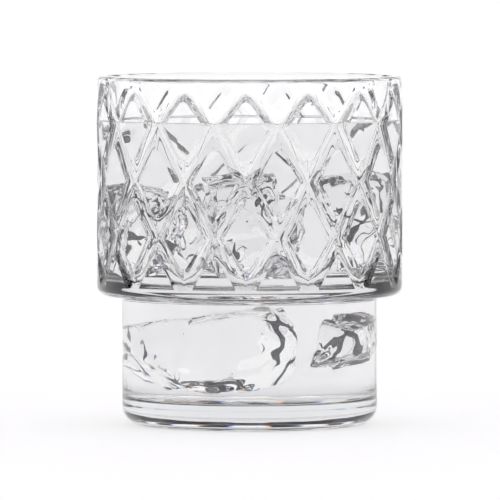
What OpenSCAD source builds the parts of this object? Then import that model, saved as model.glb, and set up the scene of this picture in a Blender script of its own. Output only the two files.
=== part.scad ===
// Stacking whisky tumbler in pressed clear glass, with a cold drink and loose ice in it.
// A wide drum, cut all round with a lattice of crossing V-grooves, stands on a narrower plain foot.
// The frame's origin is the middle of the base, with +Z up and -Y the side that faces the viewer.

/* [Glass] */
// Height from the base to the rim
height = 97; // [80:0.5:120]
// Outside diameter of the drum
drum_d = 85; // [70:0.5:105]
// How far the drum stands out over the foot
ledge = 7; // [5:0.5:10]
// Height of the foot, up to the underside of the drum
foot_h = 36; // [30:0.5:44]
// Thickness of the wall, in the drum and in the foot
wall = 3.2; // [2.4:0.1:4.5]
// Thickness of the glass under the drink
floor_t = 7; // [4:0.5:9]
// Thickness of the step between the foot and the drum
step_t = 3.2; // [2.4:0.1:5]

/* [Roundings] */
// Radius of the foot's bottom edge
base_round = 5.5; // [2:0.5:7]
// Radius of the drum's bottom edge
drum_round = 2.8; // [1:0.2:4]
// Radius of the hollow corner where the foot meets the drum, outside
step_fillet = 1.2; // [0.6:0.2:2]
// Radius of each edge of the rim
rim_round = 1.1; // [0.5:0.1:1.2]
// Radius of the corner between the floor and the foot's wall, inside
floor_round = 3; // [1:0.5:5]
// Radius of the inside step's edge, round the mouth of the foot
inner_edge_round = 1; // [0.5:0.1:1.5]
// Radius of the wide hollow corner outside it, where the step curves up into the drum's wall
inner_corner_round = 5.8; // [1:0.2:6]
// Depth of the dished middle of the base
dish_depth = 0.6; // [0.3:0.1:1.2]
// Width of the flat ring around it, which the glass stands on
base_ring = 7; // [4:0.5:12]

/* [Cut pattern] */
// Number of diamonds around the drum
diamonds = 15; // [9:1:20]
// Height from one row of crossings to the next. The end rows take what is left up to the plain bands.
row_h = 15.25; // [12:0.25:19]
// Height of one row of crossings above the drum's underside
crossing_h = 32.6; // [30:0.1:46]
// Turn of the pattern around the drum, in degrees
pattern_turn = -1.4; // [-12:0.2:12]
// Depth of a groove
groove_depth = 1.05; // [0.4:0.05:1.4]
// Height over which a groove rises to nothing at each end
run_out = 1.8; // [1:0.2:6]
// Plain band between the drum's bottom edge and the pattern
lower_band = 0.4; // [0.4:0.2:8]
// Plain band between the pattern and the rim's edge
upper_band = 0.4; // [0.4:0.2:8]

/* [Drink and ice] */
// Distance from the rim down to the drink
headroom = 12.4; // [8:0.2:20]
// Gap between a piece of ice and the drink around it
ice_gap = 0.3; // [0.2:0.05:0.6]

/* [Hidden] */
$fn = 96;
drum_r = drum_d / 2;
foot_r = drum_r - ledge;
dish_r = foot_r - base_round - base_ring;
bore_r = drum_r - wall;
foot_bore_r = foot_r - wall;
step_z = foot_h + step_t;
drink_z = height - headroom;
crossing_z = foot_h + crossing_h;
// The cut band is buried this far in the plain bands above and below it
band_overlap = 0.2;
// and its end crossings stop this far short of them
band_gap = 0.2;
// The core under the cut band stays this far inside the grooves' bottoms
core_cover = 0.4;
// and is this much slimmer than they are
band_inset = 0.05;
cut_low = foot_h + drum_round + lower_band;
cut_high = height - rim_round - upper_band;
low_end_z = cut_low + band_gap;
high_end_z = cut_high - band_gap;
rows_below = max(1, round((crossing_z - low_end_z) / row_h));
rows_above = max(1, round((high_end_z - crossing_z) / row_h));
core_r = drum_r - groove_depth - core_cover;
// The ice is drawn for a glass of these inside sizes, and takes the scale of the one that is tightest
ice_scale = min(foot_bore_r / 32.3, bore_r / 39.3, (step_z - floor_t) / 32.2, (drink_z - step_z) / 45.4);
glass_clear = [0.92, 0.95, 0.96, 0.35];
drink_clear = [0.86, 0.92, 0.95, 0.4];
ice_clear = [0.97, 0.99, 1, 0.6];

// Points of an arc in the plane, from angle a0 to a1 in degrees
function arc(centre, r, a0, a1, steps = 8) =
    [for (i = [0:steps]) let (a = a0 + (a1 - a0) * i / steps) centre + r * [cos(a), sin(a)]];

// Half of the glass's outline, from the middle of the base, out, up and in at the rim.
// It steps back to a core where the cut band goes round it.
function outer_outline() = let (
    dish_ball = (dish_r * dish_r + dish_depth * dish_depth) / (2 * dish_depth),
    dish_angle = asin(dish_r / dish_ball)
) concat(
    arc([0, dish_depth - dish_ball], dish_ball, 90, 90 - dish_angle),
    arc([foot_r - base_round, base_round], base_round, -90, 0),
    arc([foot_r + step_fillet, foot_h - step_fillet], step_fillet, 180, 90),
    arc([drum_r - drum_round, foot_h + drum_round], drum_round, -90, 0),
    [[drum_r, cut_low], [core_r, cut_low], [core_r, cut_high], [drum_r, cut_high]],
    arc([drum_r - rim_round, height - rim_round], rim_round, 0, 90),
    arc([bore_r + rim_round, height - rim_round], rim_round, 90, 180),
    [[0, height - rim_round]]
);

// Half of the hollow's outline, from the middle of the floor, out and up to a height
function hollow_outline(top) = let (
    edge = min(inner_edge_round, ledge / 5),
    corner = min(inner_corner_round, ledge - edge)
) concat(
    [[0, floor_t]],
    arc([foot_bore_r - floor_round, floor_t + floor_round], floor_round, -90, 0),
    arc([foot_bore_r + edge, step_z - edge], edge, 180, 90),
    arc([bore_r - corner, step_z + corner], corner, -90, 0),
    [[bore_r, top], [0, top]]
);

// Height of a row of crossings, counted from the one at crossing_z. The end rows lie at the plain bands.
function row_z(k) = k <= -rows_below ? low_end_z : k >= rows_above ? high_end_z : crossing_z + k * row_h;

// The lattice has a line of points every third of a row, and every third of a half diamond round the drum.
// A groove's bottom runs through every sixth diagonal of them, and its edges through those beside it.
function on_groove(i, j) = (i - j) % 6 == 0 || (i + j) % 6 == 0;

// How deep a groove is at a height, rising to nothing at the end crossings
function depth_at(z) = groove_depth * max(0, min(1, (z - low_end_z) / run_out, (high_end_z - z) / run_out));

// Is the patch between columns i, i + 1 and rows j, j + 1 folded from its lower left corner?
function folds_up(i, j) = (i - j) % 2 == 0 ? (i - j) % 6 == 0 : (i + j + 1) % 6 != 0;

// The solid band of the drum whose outside carries the lattice of V-grooves
module cut_band() {
    columns = 6 * diamonds;
    first = -3 * rows_below;
    last = 3 * rows_above;
    rows = last - first + 2;
    function line_z(j) = j < first ? cut_low - band_overlap : j > last ? cut_high + band_overlap
        : let (k = floor(j / 3)) row_z(k) + (j / 3 - k) * (row_z(k + 1) - row_z(k));
    function line_r(i, j) = j < first || j > last ? drum_r - band_inset
        : drum_r - band_inset - (on_groove(i, j) ? depth_at(line_z(j)) : 0);
    points = [for (j = [first - 1:last + 1], i = [0:columns - 1])
        let (a = -90 + pattern_turn + 360 * i / columns)
        [line_r(i, j) * cos(a), line_r(i, j) * sin(a), line_z(j)]];
    sides = [for (row = [0:rows - 1], i = [0:columns - 1]) let (
        a = row * columns + i,
        b = row * columns + (i + 1) % columns,
        c = b + columns,
        d = a + columns
    ) each folds_up(i, first - 1 + row) ? [[a, d, c], [a, c, b]] : [[a, d, b], [b, d, c]]];
    bottom = [for (i = [0:columns - 1]) i];
    top = [for (i = [columns - 1:-1:0]) rows * columns + i];
    polyhedron(points, concat(sides, [bottom, top]));
}

module glass_tumbler() {
    color(glass_clear)
        difference() {
            union() {
                rotate_extrude() polygon(outer_outline());
                cut_band();
            }
            rotate_extrude() polygon(hollow_outline(height + 1));
        }
}

// A block of ice with chipped corners: what two blocks, one turned inside the other, have in common.
// It grows on every side by grow, for the pocket that it leaves in the drink.
module ice_block(at, turn, size, chip_turn, chip_size, grow = 0) {
    translate(at) rotate(turn) intersection() {
        cube(size + 2 * grow * [1, 1, 1], center = true);
        rotate(chip_turn) cube(chip_size + 2 * grow * [1, 1, 1], center = true);
    }
}

// Ice in the foot is placed from the floor, and ice in the drum from the step. That over the foot's left
// piece stays left of x = 12, and that over its right piece stays right of it, so each side lifts clear.
module in_foot() translate([0, 0, floor_t]) scale(ice_scale) children();
module in_drum() translate([0, 0, step_z]) scale(ice_scale) children();

module left_in_foot(gap = 0) in_foot()
    ice_block([-9.4, 0.5, 15.3], [4, -6, 14], [34.5, 31, 24], [38, 24, 40], [39, 36, 37], gap / ice_scale);
module right_in_foot(gap = 0) in_foot()
    ice_block([21.4, 0.4, 12.8], [8, 8, -6], [12, 26, 19], [30, 40, 20], [23, 25, 25], gap / ice_scale);
module left_in_drum(gap = 0) in_drum()
    ice_block([-25.4, -2, 15], [6, 10, 8], [16, 30, 25], [42, 20, 35], [30, 32, 30], gap / ice_scale);
module front_in_drum(gap = 0) in_drum()
    ice_block([-1.2, -21, 16], [12, -10, 6], [19, 20, 28], [35, 40, 20], [28, 29, 30], gap / ice_scale);
module back_in_drum(gap = 0) in_drum()
    ice_block([-1, 21, 14.6], [-14, 12, 16], [18, 21, 24], [40, 30, 15], [27, 28, 27], gap / ice_scale);
module right_in_drum(gap = 0) in_drum()
    ice_block([25.2, 2, 16.4], [-8, -8, 8], [17, 32, 27], [35, 30, 40], [30, 32, 30], gap / ice_scale);

module drink() {
    color(drink_clear)
        difference() {
            rotate_extrude() polygon(hollow_outline(drink_z));
            left_in_foot(ice_gap);
            right_in_foot(ice_gap);
            left_in_drum(ice_gap);
            front_in_drum(ice_gap);
            back_in_drum(ice_gap);
            right_in_drum(ice_gap);
        }
}

module foot_ice_left() color(ice_clear) left_in_foot();
module foot_ice_right() color(ice_clear) right_in_foot();
module drum_ice_left() color(ice_clear) left_in_drum();
module drum_ice_front() color(ice_clear) front_in_drum();
module drum_ice_back() color(ice_clear) back_in_drum();
module drum_ice_right() color(ice_clear) right_in_drum();

glass_tumbler();
drink();
foot_ice_left();
foot_ice_right();
drum_ice_left();
drum_ice_front();
drum_ice_back();
drum_ice_right();
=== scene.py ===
"""A stacking tumbler in pressed clear glass, with a clear cold drink and chunks of clear ice in it.

The glass is one piece: a wide drum cut with a lattice of V-grooves over a narrower plain foot. Its grooves,
its rounded edges and its hollow are built here finely enough to bend light as the real ones do.
"""

import math
import random

import bmesh
import bpy
from mathutils import Matrix, Vector, noise
from mathutils.bvhtree import BVHTree


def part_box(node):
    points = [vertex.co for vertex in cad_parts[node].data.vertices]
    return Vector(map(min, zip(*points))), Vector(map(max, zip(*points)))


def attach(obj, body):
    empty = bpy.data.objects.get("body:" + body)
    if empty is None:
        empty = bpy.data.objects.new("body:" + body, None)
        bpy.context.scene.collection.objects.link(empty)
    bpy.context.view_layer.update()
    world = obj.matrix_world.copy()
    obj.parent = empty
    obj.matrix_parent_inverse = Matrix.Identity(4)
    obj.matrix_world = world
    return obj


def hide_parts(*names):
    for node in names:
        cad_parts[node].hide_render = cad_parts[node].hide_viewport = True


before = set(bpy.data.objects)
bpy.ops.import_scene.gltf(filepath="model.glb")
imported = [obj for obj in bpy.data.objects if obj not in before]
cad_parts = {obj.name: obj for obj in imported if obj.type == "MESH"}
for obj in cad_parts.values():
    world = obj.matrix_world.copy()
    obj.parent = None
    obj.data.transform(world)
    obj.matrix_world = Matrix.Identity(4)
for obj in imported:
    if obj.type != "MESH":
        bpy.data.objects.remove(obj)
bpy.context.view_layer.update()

MM = 0.001

# The glass's sizes: its box gives the outside of the drum and the drink's gives the hollow
GLASS_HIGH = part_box("glass_tumbler")[1]
DRINK_LOW, DRINK_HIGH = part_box("drink")
RIM_Z = GLASS_HIGH[2]
DRUM_R = GLASS_HIGH[0]
BORE_R = DRINK_HIGH[0]
FLOOR_Z = DRINK_LOW[2]
DRINK_Z = DRINK_HIGH[2]
WALL = DRUM_R - BORE_R
FOOT_R = DRUM_R - 7 * MM
FOOT_BORE_R = FOOT_R - WALL
FOOT_H = 36 * MM
STEP_Z = FOOT_H + 3.2 * MM

# Rounded edges and corners
BASE_ROUND = 5.5 * MM
DRUM_ROUND = 2.8 * MM
STEP_FILLET = 1.2 * MM
RIM_ROUND = 1.1 * MM
FLOOR_ROUND = 3 * MM
INNER_EDGE_ROUND = 1 * MM
INNER_CORNER_ROUND = 5.8 * MM
DISH_DEPTH = 0.6 * MM
DISH_R = FOOT_R - BASE_ROUND - 7 * MM

# The lattice of grooves: diamonds round the drum, and the rows of crossings, which end at the plain bands
DIAMONDS = 15
HALF_WIDTH = math.pi / DIAMONDS * DRUM_R
ROW_H = 15.25 * MM
CROSSING_Z = FOOT_H + 32.6 * MM
LOW_END_Z = FOOT_H + DRUM_ROUND + 0.6 * MM
HIGH_END_Z = RIM_Z - RIM_ROUND - 0.6 * MM
ROWS_BELOW = round((CROSSING_Z - LOW_END_Z) / ROW_H)
ROWS_ABOVE = round((HIGH_END_Z - CROSSING_Z) / ROW_H)
PATTERN_TURN = math.radians(-91.4)
RUN_OUT = 1.8 * MM

# A pad between grooves is this share of its diamond, with its corners rounded. The grooves are
# round-bottomed: the cut is an arc that leaves the pad's edge at this angle and runs level at its bottom.
PAD_SHARE = 0.69
PAD_ROUND = 1.5 * MM
GROOVE_DEPTH = 1.05 * MM
GROOVE_EDGE = math.radians(47)
GROOVE_STEPS = 8

# The drink climbs the wall a little, and reaches this far into the glass, so that no air lies between
MENISCUS_H = 0.3 * MM
MENISCUS_W = 0.9 * MM
WETTING = 0.03 * MM

# How close points are welded, and how close a point counts as lying on a cut
WELD = 0.01 * MM
CUT_SLACK = 0.02 * MM

# The ice's skin: how fine it is, how far it has melted, and its scallops and ripples
SKIN = 0.5 * MM
MELT_STEPS = 3
SCALLOP_H = 1.6 * MM
SCALLOP_PITCH = 8 * MM
RIPPLE_H = 0.35 * MM
RIPPLE_PITCH = 3.5 * MM

# Facets knocked off at random: how many from a chunk with no chips of its own, and how deep they go
KNOCKS = 12
KNOCK_DEPTH = (0.8 * MM, 3.0 * MM)

# The chips that give the foot's two chunks their outlines: a point on each, in mm, and the way it faces.
# The left chunk is cut level below and away under both ends, and the right one's underside rises outward.
CHIPS = {
    "foot_ice_left": [
        ((-8, 0, 10), (0, -0.03, -1)), ((-24, 0, 17.5), (-1, -0.05, -1.1)),
        ((9.5, 0, 20), (1, -0.3, -0.35)), ((-12, -12, 31), (-0.18, 0.09, 1)),
    ],
    "foot_ice_right": [
        ((21, 0, 18), (0.3, -0.1, -1)), ((27, 4, 21.5), (0.85, 0.3, -0.4)),
        ((15, -8, 25), (-0.5, -0.8, 0.2)),
    ],
}

# Clouds of bubbles frozen in: where their middles are, in mm, and how many are tried
BUBBLES = {"drum_ice_front": ((8, -17, 60), 46), "foot_ice_left": ((4, -8, 20), 7)}
BUBBLE_SPREAD = (1.8, 2.5, 3.6)
BUBBLE_R = (0.12 * MM, 0.45 * MM)
BUBBLE_COVER = 0.3 * MM

# The studio: how strongly the table glows, and how far apart the panels of light stand round it
TABLE_GLOW = 0.59
PANEL_PITCH = math.radians(22.5)

# Places of a colour mix's two inputs and of its output among the node's sockets
UNDER, OVER, MIXED = 6, 7, 2


# ---------------------------------------------------------------- meshes

def new_object(name, mesh):
    piece = bpy.data.objects.new(name, mesh)
    bpy.context.scene.collection.objects.link(piece)
    return piece


def arc(r, z, radius, start, end, steps=8):
    """Points of an arc in the half plane (r, z), from the angle start to end in degrees."""
    turns = [math.radians(start + (end - start) * i / steps) for i in range(steps + 1)]
    return [(r + radius * math.cos(a), z + radius * math.sin(a)) for a in turns]


def straight(start, end, pace=6 * MM, margin=0.3 * MM):
    """Points between two ends: one close to each, and the rest evenly, so that the wall shades flat."""
    length = math.dist(start, end)
    shares = [margin / length]
    steps = max(1, round(length / pace))
    shares += [i / steps for i in range(1, steps)]
    shares.append(1 - margin / length)
    return [(start[0] + (end[0] - start[0]) * s, start[1] + (end[1] - start[1]) * s) for s in shares]


def joined(*stretches, shortest=1.0 * MM):
    """One outline from stretches of points, with a straight run between each and the next. A run below the
    shortest has no points of its own."""
    outline = list(stretches[0])
    for stretch in stretches[1:]:
        if math.dist(outline[-1], stretch[0]) > shortest:
            outline += straight(outline[-1], stretch[0])
        outline += stretch
    return outline


def add_ring(bm, angles, r, z):
    return [bm.verts.new((r * math.cos(a), r * math.sin(a), z)) for a in angles]


def bridge(bm, below, above):
    count = len(below)
    for i in range(count):
        k = (i + 1) % count
        bm.faces.new((below[i], below[k], above[k], above[i]))


def sweep(bm, ring, angles, outline):
    """Carries a ring of vertices along an outline, and closes it at the axis at the outline's last point."""
    for r, z in outline[:-1]:
        following = add_ring(bm, angles, r, z)
        bridge(bm, ring, following)
        ring = following
    middle = bm.verts.new((0, 0, outline[-1][1]))
    for i in range(len(ring)):
        bm.faces.new((ring[i], ring[(i + 1) % len(ring)], middle))


def finished_mesh(bm, name):
    bmesh.ops.recalc_face_normals(bm, faces=bm.faces)
    for face in bm.faces:
        face.smooth = True
    mesh = bpy.data.meshes.new(name)
    bm.to_mesh(mesh)
    bm.free()
    return mesh


# ---------------------------------------------------------------- the glass

def row_z(k):
    """Height of a row of crossings, counted from the one at CROSSING_Z."""
    if k <= -ROWS_BELOW:
        return LOW_END_Z + (k + ROWS_BELOW) * ROW_H
    if k >= ROWS_ABOVE:
        return HIGH_END_Z + (k - ROWS_ABOVE) * ROW_H
    return CROSSING_Z + k * ROW_H


def groove_arc():
    """The cut from a pad's edge to the groove's bottom, as pairs of how far across and how deep, from 0 to 1.
    It starts a little inside the pad, so that the pad itself shades flat up to its edge."""
    turns = [GROOVE_EDGE * (1 - i / GROOVE_STEPS) for i in range(GROOVE_STEPS + 1)]
    fall = 1 - math.cos(GROOVE_EDGE)
    cut = [(1 - math.sin(a) / math.sin(GROOVE_EDGE), 1 - (1 - math.cos(a)) / fall) for a in turns]
    return [(-0.04, 0)] + cut


def groove_depth(z):
    """How deep the grooves go at a height: they rise to nothing at both ends."""
    return GROOVE_DEPTH * max(0.0, min(1.0, (z - LOW_END_Z) / RUN_OUT, (HIGH_END_Z - z) / RUN_OUT))


def pad_reach(x, z, half_height):
    """How far a pad reaches from its middle toward (x, z), with its top and bottom corners rounded."""
    slant = math.hypot(HALF_WIDTH, half_height)
    side_x, side_z = half_height / slant, HALF_WIDTH / slant
    side = PAD_SHARE * HALF_WIDTH * side_x
    ball_z = (side - PAD_ROUND) / side_z
    if x * (ball_z + PAD_ROUND * side_z) < z * PAD_ROUND * side_x:
        return ball_z * z + math.sqrt(PAD_ROUND ** 2 - (ball_z * x) ** 2)
    return side / (x * side_x + z * side_z)


def diamond_rings(rise, fall, steps=12):
    """Rings of points from a pad's middle out to its diamond's edge, each point with its share of depth."""
    corners = [(HALF_WIDTH, 0), (0, rise), (-HALF_WIDTH, 0), (0, -fall), (HALF_WIDTH, 0)]
    cut = groove_arc()
    inside = (0.3, 0.6, 0.85)
    rings = [[] for _ in range(len(inside) + len(cut))]
    for side, (start, end) in enumerate(zip(corners, corners[1:])):
        for i in range(steps):
            edge = [a + (b - a) * i / steps for a, b in zip(start, end)]
            length = math.hypot(*edge)
            toward = [c / length for c in edge]
            reach = pad_reach(abs(toward[0]), abs(toward[1]), rise if side < 2 else fall)
            for ring, share in zip(rings, inside):
                ring.append((toward[0] * reach * share, toward[1] * reach * share, 0))
            for ring, (across, deep) in zip(rings[len(inside):], cut):
                out = reach + (length - reach) * across
                ring.append((toward[0] * out, toward[1] * out, deep))
    return rings


def add_diamond(bm, turn, row):
    """One pad with the near half of the grooves round it."""
    middle_z = row_z(row)
    middle = bm.verts.new((DRUM_R * math.cos(turn), DRUM_R * math.sin(turn), middle_z))
    inner = None
    for ring in diamond_rings(row_z(row + 1) - middle_z, middle_z - row_z(row - 1)):
        outer = []
        for x, z, deep in ring:
            a = turn + x / DRUM_R
            r = DRUM_R - groove_depth(middle_z + z) * deep
            outer.append(bm.verts.new((r * math.cos(a), r * math.sin(a), middle_z + z)))
        if inner:
            bridge(bm, inner, outer)
        else:
            for i in range(len(outer)):
                bm.faces.new((middle, outer[i - 1], outer[i]))
        inner = outer


def trimmed(bm, z, direction):
    """Cuts off what lies past the height z, and returns the vertices along the cut, in order round it."""
    geometry = bm.verts[:] + bm.edges[:] + bm.faces[:]
    bmesh.ops.bisect_plane(bm, geom=geometry, plane_co=(0, 0, z), plane_no=(0, 0, direction),
                           clear_outer=True, dist=CUT_SLACK)
    level = [v for v in bm.verts if abs(v.co.z - z) < CUT_SLACK]
    bmesh.ops.remove_doubles(bm, verts=level, dist=2 * CUT_SLACK)
    edge = [v for v in bm.verts if v.is_boundary and abs(v.co.z - z) < CUT_SLACK]
    return sorted(edge, key=lambda v: math.atan2(v.co.y, v.co.x))


def drum_below():
    """The outside from the cut band down and in to the middle of the base."""
    dish_ball = (DISH_R ** 2 + DISH_DEPTH ** 2) / (2 * DISH_DEPTH)
    dish_angle = math.degrees(math.asin(DISH_R / dish_ball))
    return joined(
        arc(DRUM_R - DRUM_ROUND, FOOT_H + DRUM_ROUND, DRUM_ROUND, 0, -90, 10),
        arc(FOOT_R + STEP_FILLET, FOOT_H - STEP_FILLET, STEP_FILLET, 90, 180, 8),
        arc(FOOT_R - BASE_ROUND, BASE_ROUND, BASE_ROUND, 0, -90, 14),
        arc(0, DISH_DEPTH - dish_ball, dish_ball, 90 - dish_angle, 90, 10),
    )


def drum_above():
    """The outside from the cut band up, over the rim, and down inside to the middle of the floor."""
    return joined(
        arc(DRUM_R - RIM_ROUND, RIM_Z - RIM_ROUND, RIM_ROUND, 0, 90, 8),
        arc(BORE_R + RIM_ROUND, RIM_Z - RIM_ROUND, RIM_ROUND, 90, 180, 8),
        hollow_outline(BORE_R, FOOT_BORE_R, FLOOR_Z),
    )


def hollow_outline(bore_r, foot_bore_r, floor_z):
    """The hollow's wall from inside the drum, over the step and down to the middle of the floor."""
    return joined(
        arc(bore_r - INNER_CORNER_ROUND, STEP_Z + INNER_CORNER_ROUND, INNER_CORNER_ROUND, 0, -90, 14),
        arc(foot_bore_r + INNER_EDGE_ROUND, STEP_Z - INNER_EDGE_ROUND, INNER_EDGE_ROUND, 90, 180, 8),
        arc(foot_bore_r - FLOOR_ROUND, floor_z + FLOOR_ROUND, FLOOR_ROUND, 0, -90, 8),
        [(0, floor_z)],
    )


def make_glass():
    bm = bmesh.new()
    for row in range(-ROWS_BELOW, ROWS_ABOVE + 1):
        for k in range(DIAMONDS):
            add_diamond(bm, PATTERN_TURN + math.pi * (2 * k + 1 - row % 2) / DIAMONDS, row)
    bmesh.ops.remove_doubles(bm, verts=bm.verts, dist=WELD)
    for z, direction, outline in ((LOW_END_Z, -1, drum_below()), (HIGH_END_Z, 1, drum_above())):
        ring = trimmed(bm, z, direction)
        sweep(bm, ring, [math.atan2(v.co.y, v.co.x) for v in ring], outline)
    glass = new_object("tumbler_glass", finished_mesh(bm, "tumbler_glass"))
    crisp = glass.modifiers.new("flat walls stay flat", "WEIGHTED_NORMAL")
    crisp.weight = 90
    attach(glass, "tumbler")
    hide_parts("glass_tumbler")
    return glass


# ---------------------------------------------------------------- the drink

def make_drink(columns=256, steps=12):
    """The drink fills the hollow, with a level top that climbs the wall in a meniscus."""
    rim_r = BORE_R + WETTING
    meniscus = []
    for i in range(steps, -1, -1):
        climb = MENISCUS_H * (1 - i / steps) ** 3
        meniscus.append((rim_r - MENISCUS_W * i / steps, DRINK_Z + climb))
    outline = joined(meniscus, hollow_outline(rim_r, FOOT_BORE_R + WETTING, FLOOR_Z - WETTING))
    angles = [2 * math.pi * i / columns for i in range(columns)]
    bm = bmesh.new()
    edge = add_ring(bm, angles, *outline[0])
    middle = bm.verts.new((0, 0, DRINK_Z))
    for i in range(columns):
        bm.faces.new((edge[i], edge[(i + 1) % columns], middle))
    sweep(bm, edge, angles, outline[1:])
    drink = new_object("cold_drink", finished_mesh(bm, "cold_drink"))
    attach(drink, "tumbler")
    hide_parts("drink")
    return drink


# ---------------------------------------------------------------- the ice

def chip(bm, point, normal):
    """Takes off what lies past a plane, and closes the face that it leaves."""
    geometry = bm.verts[:] + bm.edges[:] + bm.faces[:]
    cut = bmesh.ops.bisect_plane(bm, geom=geometry, plane_co=point, plane_no=normal,
                                 clear_outer=True, dist=1e-6)
    rim = [item for item in cut["geom_cut"] if isinstance(item, bmesh.types.BMEdge)]
    if rim:
        bmesh.ops.edgeloop_fill(bm, edges=rim)


def chipped_block(node, seed, chips):
    """The plain block with its own chips and one at random taken off it or, where it has none of its own,
    with facets knocked off at random all over."""
    bm = bmesh.new()
    bm.from_mesh(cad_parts[node].data)
    bmesh.ops.remove_doubles(bm, verts=bm.verts, dist=WELD)
    for point, normal in chips:
        chip(bm, Vector(point) * MM, Vector(normal))
    draw = random.Random(seed)
    middle = sum((v.co for v in bm.verts), Vector()) / len(bm.verts)
    for _ in range(1 if chips else KNOCKS):
        normal = Vector([draw.gauss(0, 1) for _ in range(3)]).normalized()
        reach = max((v.co - middle).dot(normal) for v in bm.verts)
        chip(bm, middle + normal * (reach - draw.uniform(*KNOCK_DEPTH)), normal)
    bmesh.ops.recalc_face_normals(bm, faces=bm.faces)
    mesh = bpy.data.meshes.new(node)
    bm.to_mesh(mesh)
    bm.free()
    return mesh


def melt(chunk):
    """Gives a chipped block an even skin and rounds its edges."""
    bpy.context.view_layer.objects.active = chunk
    skin = chunk.modifiers.new("even skin", "REMESH")
    skin.mode = "VOXEL"
    skin.voxel_size = SKIN
    edges = chunk.modifiers.new("melted edges", "SMOOTH")
    edges.factor = 0.5
    edges.iterations = MELT_STEPS
    graph = bpy.context.evaluated_depsgraph_get()
    melted = bpy.data.meshes.new_from_object(chunk.evaluated_get(graph))
    chunk.modifiers.clear()
    chunk.data = melted


def scallop(mesh, seed):
    """Draws a chunk's skin in and out by soft scallops with finer ripples on them. Each seed has a place of
    its own in the noise."""
    offset = Vector((seed * 7.3, seed * 3.1, seed * 5.7))
    for vertex, normal in zip(mesh.vertices, [v.normal.copy() for v in mesh.vertices]):
        scallops = noise.noise(vertex.co / SCALLOP_PITCH + offset) * SCALLOP_H
        ripples = noise.noise(vertex.co / RIPPLE_PITCH - offset) * RIPPLE_H
        vertex.co += normal * (scallops + ripples)


def freeze_in_bubbles(mesh, seed, middle, count):
    """Adds a cloud of small round pockets where they fit inside the ice. Their faces look in, off the ice."""
    draw = random.Random(seed)
    bm = bmesh.new()
    bm.from_mesh(mesh)
    skin = BVHTree.FromBMesh(bm)
    for _ in range(count):
        point = (Vector(middle) + Vector([draw.gauss(0, 1) * spread for spread in BUBBLE_SPREAD])) * MM
        radius = draw.uniform(*BUBBLE_R)
        nearest, normal, _, _ = skin.find_nearest(point)
        if (nearest - point).dot(normal) > radius + BUBBLE_COVER:
            place = Matrix.Translation(point)
            ball = bmesh.ops.create_icosphere(bm, subdivisions=2, radius=radius, matrix=place)
            faces = {face for v in ball["verts"] for face in v.link_faces}
            bmesh.ops.reverse_faces(bm, faces=list(faces))
    bm.to_mesh(mesh)
    bm.free()


def make_ice(node, seed):
    """A chunk of clear ice: a chipped block, melted round at its edges and scalloped on its faces."""
    block = chipped_block(node, seed, CHIPS.get(node, ()))
    chunk = new_object(node.replace("_ice_", "_chunk_"), block)
    melt(chunk)
    scallop(chunk.data, seed)
    if node in BUBBLES:
        freeze_in_bubbles(chunk.data, seed, *BUBBLES[node])
    for face in chunk.data.polygons:
        face.use_smooth = True
    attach(chunk, node)
    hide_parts(node)
    return chunk


# ---------------------------------------------------------------- materials

def linear(hex_colour):
    """An sRGB hex colour as the linear RGBA that the shaders take."""
    channels = [int(hex_colour[i:i + 2], 16) / 255 for i in (1, 3, 5)]
    return [c / 12.92 if c <= 0.04045 else ((c + 0.055) / 1.055) ** 2.4 for c in channels] + [1]


WHITE = linear("#FFFFFF")


def add_node(tree, kind, inputs=(), **settings):
    """Adds a shader node of a kind. inputs are pairs of a socket's name or place and what goes in: a value,
    or the output socket that feeds it. settings are the node's own properties."""
    node = tree.nodes.new(kind)
    for name, value in settings.items():
        setattr(node, name, value)
    for socket, value in inputs:
        if isinstance(value, bpy.types.NodeSocket):
            tree.links.new(value, node.inputs[socket])
        else:
            node.inputs[socket].default_value = value
    return node


def new_material(name):
    material = bpy.data.materials.new(name)
    material.use_nodes = True
    material.node_tree.nodes.clear()
    return material, material.node_tree


def clear_solid(name, ior, wave_pitch, wave_strength, smeared=0.0, depth_colour=None, depth_density=0.0):
    """A clear polished solid, and its shader. Its skin is faintly wavy, and where it is smeared its gloss
    drops to that roughness. Where it is thick it takes on its depth colour, by the density per metre."""
    material, tree = new_material(name)
    place = add_node(tree, "ShaderNodeTexCoord").outputs["Object"]
    wave = add_node(tree, "ShaderNodeTexNoise",
                    [("Vector", place), ("Scale", 1 / wave_pitch), ("Detail", 1.0), ("Roughness", 0.4)])
    bump = add_node(tree, "ShaderNodeBump",
                    [("Height", wave.outputs["Fac"]), ("Strength", wave_strength), ("Distance", 0.05 * MM)])
    smears = add_node(tree, "ShaderNodeTexNoise",
                      [("Vector", place), ("Scale", 1 / (14 * MM)), ("Detail", 3.0)])
    gloss = add_node(tree, "ShaderNodeMapRange", [("Value", smears.outputs["Fac"]), ("To Max", smeared)])
    shader = add_node(tree, "ShaderNodeBsdfPrincipled",
                      [("Base Color", WHITE), ("Roughness", gloss.outputs["Result"]), ("IOR", ior),
                       ("Transmission Weight", 1.0), ("Normal", bump.outputs["Normal"])])
    output = add_node(tree, "ShaderNodeOutputMaterial", [("Surface", shader.outputs["BSDF"])])
    if depth_colour:
        depth = add_node(tree, "ShaderNodeVolumeAbsorption",
                         [("Color", linear(depth_colour)), ("Density", depth_density)])
        tree.links.new(depth.outputs["Volume"], output.inputs["Volume"])
    return material, shader


def pressed_glass():
    """Soda-lime glass, pressed in a mould and fire-polished. The eye gets a bright clear wall that goes grey
    where it is thick, and a slow waviness from the mould that bends straight lines a little."""
    return clear_solid("pressed soda-lime glass", 1.5, wave_pitch=16 * MM, wave_strength=0.08, smeared=0.01,
                       depth_colour="#BCBEC2", depth_density=10)[0]


def cold_drink():
    """A still clear drink. The eye gets a lens that turns the far side about, a shade greyer than air."""
    return clear_solid("clear drink", 1.333, wave_pitch=20 * MM, wave_strength=0.03,
                       depth_colour="#BEBFC1", depth_density=5.5)[0]


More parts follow.
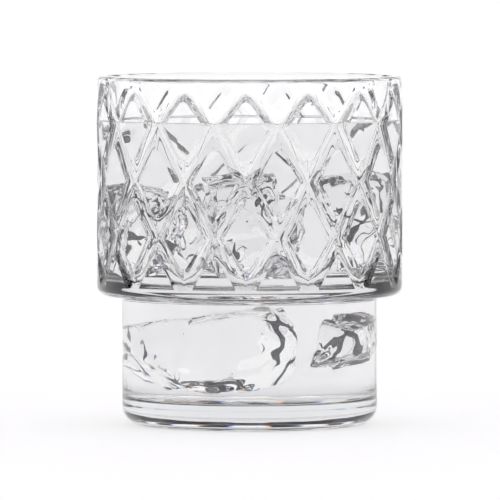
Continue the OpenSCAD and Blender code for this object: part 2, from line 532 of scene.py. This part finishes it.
def clear_ice(name, ior, dark_line_reach, draw, middle=0.0, clear=0.0):
    """Clear ice, knocked apart and part melted. Its IOR is set against the drink round it, and is above the
    real one, which hardly shows. The eye gets soft bent faces with dark lines, and these are painted shade:
    a dark tint in the base colour, on sharp ridges and along lines where a slow field of noise crosses its
    middle value, put where bent light would leave shade. They keep to patches, and off the stretch along X
    that is within clear of middle. draw picks the field."""
    material, shader = clear_solid(name, ior, wave_pitch=9 * MM, wave_strength=0.25, smeared=0.01)
    tree = material.node_tree
    place = add_node(tree, "ShaderNodeTexCoord").outputs["Object"]
    # Painted shade: dark lines, a near-black tint in the base colour, run where this noise crosses its middle
    # value
    field = add_node(tree, "ShaderNodeTexNoise",
                     [("Vector", place), ("W", draw), ("Scale", 1 / (12 * MM)), ("Detail", 1.0),
                      ("Distortion", 0.6)], noise_dimensions="4D")
    signed = add_node(tree, "ShaderNodeMath", [(0, field.outputs["Fac"]), (1, 0.5)], operation="SUBTRACT")
    distance_from_painted_line = add_node(tree, "ShaderNodeMath", [(0, signed.outputs[0])], operation="ABSOLUTE")
    patches = add_node(tree, "ShaderNodeTexNoise",
                       [("Vector", place), ("W", draw), ("Scale", 1 / (9 * MM)), ("Detail", 0.0)],
                       noise_dimensions="4D")
    reach = add_node(tree, "ShaderNodeMapRange", [("Value", patches.outputs["Fac"]), ("From Min", 0.46),
                                                  ("From Max", 0.62), ("To Max", dark_line_reach)])
    across = add_node(tree, "ShaderNodeSeparateXYZ", [("Vector", place)])
    from_middle = add_node(tree, "ShaderNodeMath", [(0, across.outputs["X"]), (1, middle)],
                           operation="SUBTRACT")
    aside = add_node(tree, "ShaderNodeMath", [(0, from_middle.outputs[0])], operation="ABSOLUTE")
    past = add_node(tree, "ShaderNodeMapRange", [("Value", aside.outputs[0]), ("From Min", clear),
                                                 ("From Max", clear + 4 * MM)])
    width = add_node(tree, "ShaderNodeMath", [(0, reach.outputs["Result"]), (1, past.outputs["Result"])],
                     operation="MULTIPLY")
    off_painted_line = add_node(tree, "ShaderNodeMath", [(0, distance_from_painted_line.outputs[0]), (1, width.outputs[0])],
                    operation="GREATER_THAN")
    # Painted shade: the same dark tint on sharp ridges, found by their pointiness, where bent light would
    # leave a dark line
    edge = add_node(tree, "ShaderNodeNewGeometry")
    painted_ridge_shade = add_node(tree, "ShaderNodeMapRange",
                     [("Value", edge.outputs["Pointiness"]), ("From Min", 0.525), ("From Max", 0.56),
                      ("To Min", 1.0), ("To Max", 0.1)], interpolation_type="SMOOTHSTEP")
    free_of_painted_shade = add_node(tree, "ShaderNodeMath", [(0, off_painted_line.outputs[0]), (1, painted_ridge_shade.outputs["Result"])],
                       operation="MULTIPLY")
    # The painted dark lines: near-black base colour on the lines and ridges, white elsewhere
    painted_dark_line_tint = add_node(tree, "ShaderNodeMix",
                    [("Factor", free_of_painted_shade.outputs[0]), (UNDER, linear("#101216")), (OVER, WHITE)],
                    data_type="RGBA")
    tree.links.new(painted_dark_line_tint.outputs[MIXED], shader.inputs["Base Color"])
    return material


def white_laminate():
    """Matt white laminate on a table lit from within. The eye gets plain white with a faint contact shade."""
    material, tree = new_material("matt white laminate")
    shader = add_node(tree, "ShaderNodeBsdfPrincipled",
                      [("Base Color", linear("#F4F4F4")), ("Roughness", 0.9),
                       ("Emission Color", WHITE), ("Emission Strength", TABLE_GLOW)])
    add_node(tree, "ShaderNodeOutputMaterial", [("Surface", shader.outputs["BSDF"])])
    return material


def paint(piece, material):
    piece.data.materials.clear()
    piece.data.materials.append(material)


# ---------------------------------------------------------------- the studio

def make_floor(radius=12, sides=96):
    """A round table top, 24 m across so that it fills the view, and a hair under the glass."""
    bm = bmesh.new()
    bmesh.ops.create_circle(bm, cap_ends=True, segments=sides, radius=radius)
    floor = new_object("studio_floor", finished_mesh(bm, "studio_floor"))
    floor.location.z = -0.05 * MM
    paint(floor, white_laminate())


def make_light():
    """A dark studio round a glowing table. A low wall of light runs all round, and tall narrow panels stand
    evenly behind it, under a small roof light. What the glass bends past their edges stays dark and draws
    its cuts. The panels' sides are tinted warm and cool, and the wall's top is cool, for the coloured
    fringes that cut glass splits off."""
    world = bpy.data.worlds.new("studio panels")
    bpy.context.scene.world = world
    world.use_nodes = True
    tree = world.node_tree
    tree.nodes.clear()
    place = add_node(tree, "ShaderNodeTexCoord")
    axes = add_node(tree, "ShaderNodeSeparateXYZ", [("Vector", place.outputs["Generated"])])
    x, y, z = axes.outputs
    up = add_node(tree, "ShaderNodeMath", [(0, z)], operation="ARCSINE").outputs[0]
    around = add_node(tree, "ShaderNodeMath", [(0, y), (1, x)], operation="ARCTAN2").outputs[0]
    side = add_node(tree, "ShaderNodeMath", [(0, around), (1, PANEL_PITCH / 2), (2, -PANEL_PITCH / 2)],
                    operation="WRAP").outputs[0]
    off_panel = add_node(tree, "ShaderNodeMath", [(0, side)], operation="ABSOLUTE").outputs[0]

    # Each fade: the angle that it follows, the degrees where it is full and where it ends, and its level
    fades = {
        "panel": (off_panel, 6, 7, 1.0),
        "panel_top": (up, 44, 48, 1.3),
        "panel_foot": (up, 17, 15, 1.0),
        "low_wall": (up, 15, 17, 1.12),
        "roof": (up, 74, 66, 0.8),
        "warm_side": (side, 6.5, 4.5, 1.0),
        "cool_side": (side, -6.5, -4.5, 1.0),
        "wall_top": (up, 16, 14, 0.5),
    }
    level = {}
    for name, (angle, full, end, most) in fades.items():
        low, high = sorted((full, end))
        at_low, at_high = (most, 0.0) if full < end else (0.0, most)
        fade = add_node(tree, "ShaderNodeMapRange",
                        [("Value", angle), ("From Min", math.radians(low)), ("From Max", math.radians(high)),
                         ("To Min", at_low), ("To Max", at_high)], interpolation_type="SMOOTHSTEP")
        level[name] = fade.outputs["Result"]
    strength = level["panel"]
    for operation, other in (("MULTIPLY", "panel_top"), ("MULTIPLY", "panel_foot"), ("ADD", "low_wall"),
                             ("ADD", "roof")):
        both = add_node(tree, "ShaderNodeMath", [(0, strength), (1, level[other])], operation=operation)
        strength = both.outputs[0]

    warmed = add_node(tree, "ShaderNodeMix",
                      [("Factor", level["warm_side"]), (UNDER, WHITE), (OVER, linear("#FFB469"))],
                      data_type="RGBA").outputs[MIXED]
    panels = add_node(tree, "ShaderNodeMix",
                      [("Factor", level["cool_side"]), (UNDER, warmed), (OVER, linear("#6F9BFF"))],
                      data_type="RGBA").outputs[MIXED]
    low_wall = add_node(tree, "ShaderNodeMix",
                        [("Factor", level["wall_top"]), (UNDER, WHITE), (OVER, linear("#8FB0FF"))],
                        data_type="RGBA").outputs[MIXED]
    colour = add_node(tree, "ShaderNodeMix",
                      [("Factor", level["panel_foot"]), (UNDER, low_wall), (OVER, panels)],
                      data_type="RGBA").outputs[MIXED]
    light = add_node(tree, "ShaderNodeBackground", [("Color", colour), ("Strength", strength)])
    add_node(tree, "ShaderNodeOutputWorld", [("Surface", light.outputs["Background"])])


def make_camera():
    """A long lens from far off, a little above the glass's middle and level with its sides."""
    data = bpy.data.cameras.new("camera")
    data.sensor_width = 36
    data.lens = 558
    data.clip_start = 0.1
    data.clip_end = 100
    camera = new_object("camera", data)
    camera.location = (0, -2.155, 0.151)
    target = Vector((0.0001, 0, 0.0485))
    camera.rotation_euler = (target - camera.location).to_track_quat("-Z", "Y").to_euler()
    bpy.context.scene.camera = camera


def set_up_render(bounces=12):
    """Enough bounces for both walls, the drink and the ice. Light that needs more is left dark."""
    scene = bpy.context.scene
    scene.cycles.max_bounces = bounces
    scene.cycles.transmission_bounces = bounces
    scene.cycles.glossy_bounces = bounces
    scene.cycles.use_denoising = True
    scene.cycles.sample_clamp_indirect = 6
    scene.view_settings.view_transform = "Standard"


make_camera()
make_light()
make_floor()
set_up_render()
glass = make_glass()
drink = make_drink()
# The dark lines on each ice are painted shade, a dark tint in its colour. The third argument sets how wide
# they get, and the left chunk keeps them off its middle
drum_ice = clear_ice("clear ice", 1.2, dark_line_reach=0.024, draw=6.0)
foot_ice = {
    "foot_ice_left": clear_ice("clear ice with no painted lines in its middle", 1.1, dark_line_reach=0.03, draw=6.0,
                               middle=-7 * MM, clear=9.5 * MM),
    "foot_ice_right": clear_ice("clear ice with wider painted dark lines", 1.28, dark_line_reach=0.05, draw=4.0),
}
paint(glass, pressed_glass())
paint(drink, cold_drink())
for number, node in enumerate(sorted(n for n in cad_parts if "_ice_" in n)):
    paint(make_ice(node, number + 1), foot_ice.get(node, drum_ice))
